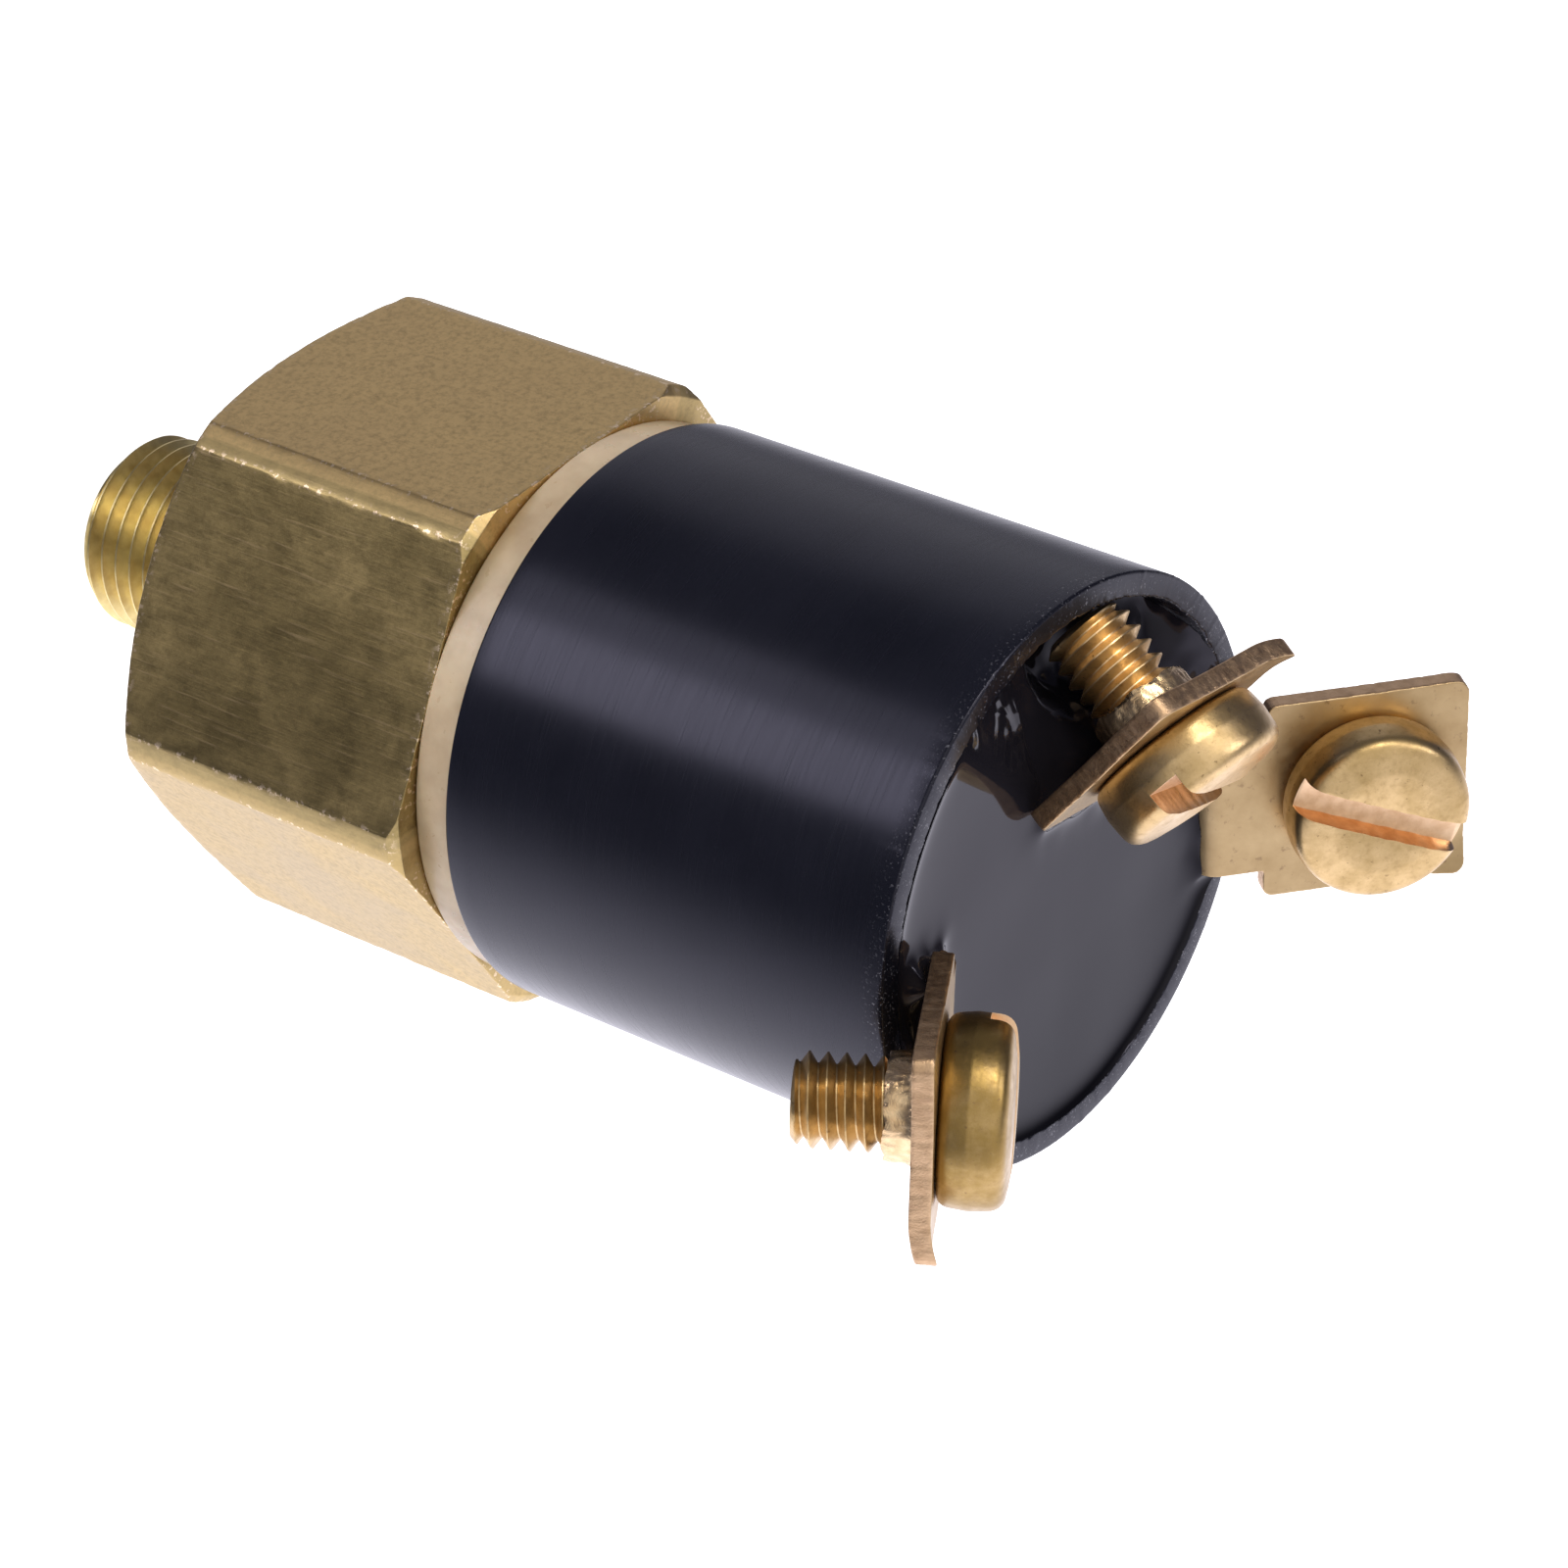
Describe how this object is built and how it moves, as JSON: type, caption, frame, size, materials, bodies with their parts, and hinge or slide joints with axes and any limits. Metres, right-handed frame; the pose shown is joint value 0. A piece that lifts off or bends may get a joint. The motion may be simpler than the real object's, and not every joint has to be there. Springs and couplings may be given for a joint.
{
  "type": "pressure switch",
  "caption": "Small potted pressure switch: brass hex fitting with a pipe-thread stub, black round sleeve and angled brass screw terminals.",
  "frame": {"origin": "centre of the hex front face, where the threaded stub leaves it", "axes": "+Z along the switch axis from the stub to the terminals; +X towards the normally closed terminal; -Y towards the normally open terminal"},
  "size_m": [0.042, 0.0284, 0.0664],
  "materials": {
    "brass_body": "tarnished turned brass, satin",
    "brass_terminal": "blanked brass strip, satin, sheared edges",
    "brass_screw": "turned and slotted brass, semi-bright",
    "brass_plug": "turned brass",
    "black_sleeve": "satin black with fine circular scratches",
    "potting_resin": "glossy black cast resin with a meniscus",
    "cream_insulator": "cream moulded nylon",
    "pin_insulator": "moulded insulating rod",
    "seal_rubber": "nitrile rubber",
    "steel": "stainless steel",
    "spring_steel": "drawn spring wire",
    "bronze_blade": "phosphor bronze strip",
    "silver_contact": "silver contact rivet",
    "fibre": "red-brown fibre sheet"
  },
  "bodies": {
    "switch_body": {"base_fitting": "brass_body", "diaphragm_seal": "seal_rubber", "diaphragm": "steel", "clamp_ring": "steel", "range_spring": "spring_steel", "adjusting_screw": "brass_plug", "insulator_body": "cream_insulator", "housing_sleeve": "black_sleeve", "common_terminal": "brass_terminal", "no_terminal": "brass_terminal", "nc_terminal": "brass_terminal", "blade_pivot": "steel", "no_contact": "silver_contact", "nc_contact": "silver_contact", "cavity_cover": "fibre", "potting_compound": "potting_resin"},
    "plunger": {"piston": "steel", "actuating_pin": "pin_insulator"},
    "contact_arm": {"common_blade": "bronze_blade", "moving_contact": "silver_contact"},
    "common_screw_body": {"common_screw": "brass_screw"},
    "no_screw_body": {"no_screw": "brass_screw"},
    "nc_screw_body": {"nc_screw": "brass_screw"}
  },
  "joints": [
    {"name": "plunger_travel", "type": "slide", "parent": "switch_body", "child": "plunger", "axis": [0, 0, 1], "range_m": [0, 0.0006], "stiffness_N_per_m": 2000, "springref_m": -0.004, "deforming": ["range_spring"]},
    {"name": "contact_arm_swing", "type": "hinge", "parent": "switch_body", "child": "contact_arm", "pos_m": [-0.008, 0, 0.025], "axis": [0, -1, 0], "range_deg": [0, 4.35]},
    {"name": "common_screw_travel", "type": "slide", "parent": "switch_body", "child": "common_screw_body", "axis": [0.6422, 0.028, 0.766], "range_m": [0, 0.003]},
    {"name": "no_screw_travel", "type": "slide", "parent": "switch_body", "child": "no_screw_body", "axis": [0.0433, 0.6196, 0.7837], "range_m": [0, 0.003]},
    {"name": "nc_screw_travel", "type": "slide", "parent": "switch_body", "child": "nc_screw_body", "axis": [-0.5223, 0.0137, 0.8526], "range_m": [0, 0.003]}
  ],
  "couplings": [
    {"joint": "contact_arm_swing", "follows": "plunger_travel", "rad_per_m": 125}
  ]
}
